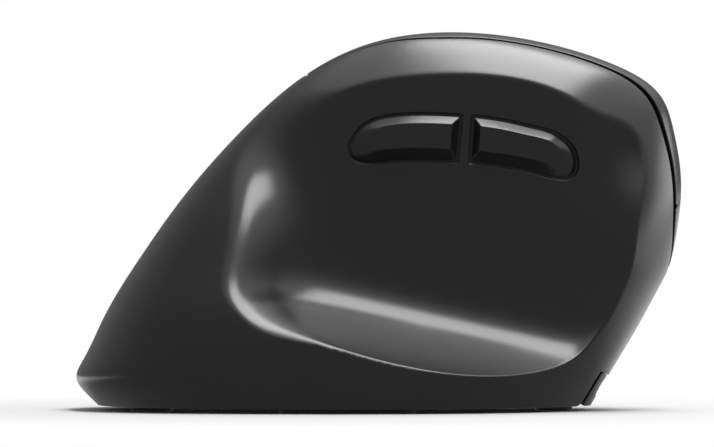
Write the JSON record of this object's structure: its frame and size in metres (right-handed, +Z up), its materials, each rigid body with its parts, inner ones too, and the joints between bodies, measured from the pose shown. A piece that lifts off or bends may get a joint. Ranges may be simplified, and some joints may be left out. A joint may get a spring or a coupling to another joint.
{
  "type": "ergonomic mouse",
  "caption": "Upright wireless left-handed computer mouse with a scooped thumb rest, thumb buttons, two tilted main buttons and a ribbed scroll wheel.",
  "frame": {"origin": "on the desk under the middle of the mouse's outline", "axes": "+X towards the front, where the main buttons end; -Y the thumb side; +Z up"},
  "size_m": [0.1178, 0.0791, 0.0735],
  "materials": {
    "shell_plastic": "satin black, fine grain",
    "thumb_key_plastic": "satin black, smooth",
    "tyre_rubber": "matt black rubber",
    "hub_plastic": "satin black",
    "frame_plastic": "matt black",
    "gloss_trim": "gloss black",
    "foot_slider": "smooth low-friction plastic",
    "circuit_board": "lacquered board",
    "switch_case": "moulded black",
    "switch_plunger": "moulded off-white",
    "screw_steel": "zinc-plated steel",
    "socket_steel": "drawn steel",
    "lens_clear": "clear moulded lens",
    "battery_foil": "foil pouch",
    "battery_foam": "foam strip"
  },
  "bodies": {
    "housing": {"thumb_shell": "shell_plastic", "palm_cover": "shell_plastic", "centre_strip": "shell_plastic", "button_frame": "frame_plastic", "base_plate": "frame_plastic", "port_bezel": "gloss_trim", "front_foot": "foot_slider", "rear_foot": "foot_slider", "thumb_side_foot": "foot_slider", "finger_side_foot": "foot_slider", "button_board": "circuit_board", "side_board": "circuit_board", "main_board": "circuit_board", "primary_switch": "switch_case", "secondary_switch": "switch_case", "wheel_switch": "switch_case", "speed_switch": "switch_case", "back_switch": "switch_case", "forward_switch": "switch_case", "power_switch": "switch_case", "sensor": "switch_case", "board_screw_1": "screw_steel", "board_screw_2": "screw_steel", "side_board_screw_1": "screw_steel", "side_board_screw_2": "screw_steel", "main_board_screw_1": "screw_steel", "main_board_screw_2": "screw_steel", "base_screw_1": "screw_steel", "base_screw_2": "screw_steel", "base_screw_3": "screw_steel", "base_screw_4": "screw_steel", "frame_screw_1": "screw_steel", "frame_screw_2": "screw_steel", "frame_screw_3": "screw_steel", "charge_socket": "socket_steel", "lens": "lens_clear", "battery": "battery_foil", "battery_pad": "battery_foam"},
    "primary_key": {"primary_button": "shell_plastic"},
    "secondary_key": {"secondary_button": "shell_plastic"},
    "primary_plunger": {"primary_plunger": "switch_plunger"},
    "secondary_plunger": {"secondary_plunger": "switch_plunger"},
    "wheel_carrier": {"wheel_carrier": "frame_plastic", "encoder": "switch_case"},
    "wheel": {"wheel_hub": "hub_plastic", "wheel_tyre": "tyre_rubber", "encoder_rotor": "frame_plastic"},
    "wheel_plunger": {"wheel_plunger": "switch_plunger"},
    "speed_key": {"speed_button": "shell_plastic"},
    "speed_plunger": {"speed_plunger": "switch_plunger"},
    "back_key": {"back_button": "thumb_key_plastic"},
    "back_plunger": {"back_plunger": "switch_plunger"},
    "forward_key": {"forward_button": "thumb_key_plastic"},
    "forward_plunger": {"forward_plunger": "switch_plunger"},
    "power_knob": {"power_slider": "switch_plunger"}
  },
  "joints": [
    {"name": "primary_click", "type": "hinge", "parent": "housing", "child": "primary_key", "pos_m": [-0.006, 0.00735, 0.05785], "axis": [0, 0.524, -0.8517], "range_deg": [0, 0.92], "stiffness_Nm_per_rad": 2},
    {"name": "primary_plunger_slide", "type": "slide", "parent": "housing", "child": "primary_plunger", "axis": [0, -0.8517, -0.524], "range_m": [0, 0.000662], "stiffness_N_per_m": 1},
    {"name": "secondary_click", "type": "hinge", "parent": "housing", "child": "secondary_key", "pos_m": [-0.006, 0.01835, 0.03997], "axis": [0, 0.524, -0.8517], "range_deg": [0, 0.92], "stiffness_Nm_per_rad": 2},
    {"name": "secondary_plunger_slide", "type": "slide", "parent": "housing", "child": "secondary_plunger", "axis": [0, -0.8517, -0.524], "range_m": [0, 0.000662], "stiffness_N_per_m": 1},
    {"name": "wheel_click", "type": "hinge", "parent": "housing", "child": "wheel_carrier", "pos_m": [0.017, 0.01157, 0.04812], "axis": [0, 0.524, -0.8517], "range_deg": [0, 2], "stiffness_Nm_per_rad": 1},
    {"name": "wheel_plunger_slide", "type": "slide", "parent": "housing", "child": "wheel_plunger", "axis": [0, -0.8517, -0.524], "range_m": [0, 0.000269], "stiffness_N_per_m": 1},
    {"name": "wheel_spin", "type": "hinge", "parent": "wheel_carrier", "child": "wheel", "pos_m": [0.035, 0.01311, 0.04907], "axis": [0, 0.524, -0.8517], "continuous": true},
    {"name": "speed_press", "type": "slide", "parent": "housing", "child": "speed_key", "axis": [0, -0.8517, -0.524], "range_m": [0, 0.0005], "stiffness_N_per_m": 300},
    {"name": "speed_plunger_slide", "type": "slide", "parent": "housing", "child": "speed_plunger", "axis": [0, -0.8517, -0.524], "range_m": [0, 0.00055], "stiffness_N_per_m": 1},
    {"name": "back_press", "type": "slide", "parent": "housing", "child": "back_key", "axis": [0, 1, 0], "range_m": [0, 0.0006], "stiffness_N_per_m": 400},
    {"name": "back_plunger_slide", "type": "slide", "parent": "housing", "child": "back_plunger", "axis": [0, 1, 0], "range_m": [0, 0.00066], "stiffness_N_per_m": 1},
    {"name": "forward_press", "type": "slide", "parent": "housing", "child": "forward_key", "axis": [0, 1, 0], "range_m": [0, 0.0006], "stiffness_N_per_m": 400},
    {"name": "forward_plunger_slide", "type": "slide", "parent": "housing", "child": "forward_plunger", "axis": [0, 1, 0], "range_m": [0, 0.00066], "stiffness_N_per_m": 1},
    {"name": "power_slide", "type": "slide", "parent": "housing", "child": "power_knob", "axis": [1, 0, 0], "range_m": [0, 0.002]}
  ],
  "couplings": [
    {"joint": "primary_plunger_slide", "follows": "primary_click", "m_per_rad": 0.0375},
    {"joint": "secondary_plunger_slide", "follows": "secondary_click", "m_per_rad": 0.0375},
    {"joint": "wheel_plunger_slide", "follows": "wheel_click", "m_per_rad": 0.007},
    {"joint": "speed_plunger_slide", "follows": "speed_press", "ratio": 1},
    {"joint": "back_plunger_slide", "follows": "back_press", "ratio": 1},
    {"joint": "forward_plunger_slide", "follows": "forward_press", "ratio": 1}
  ]
}
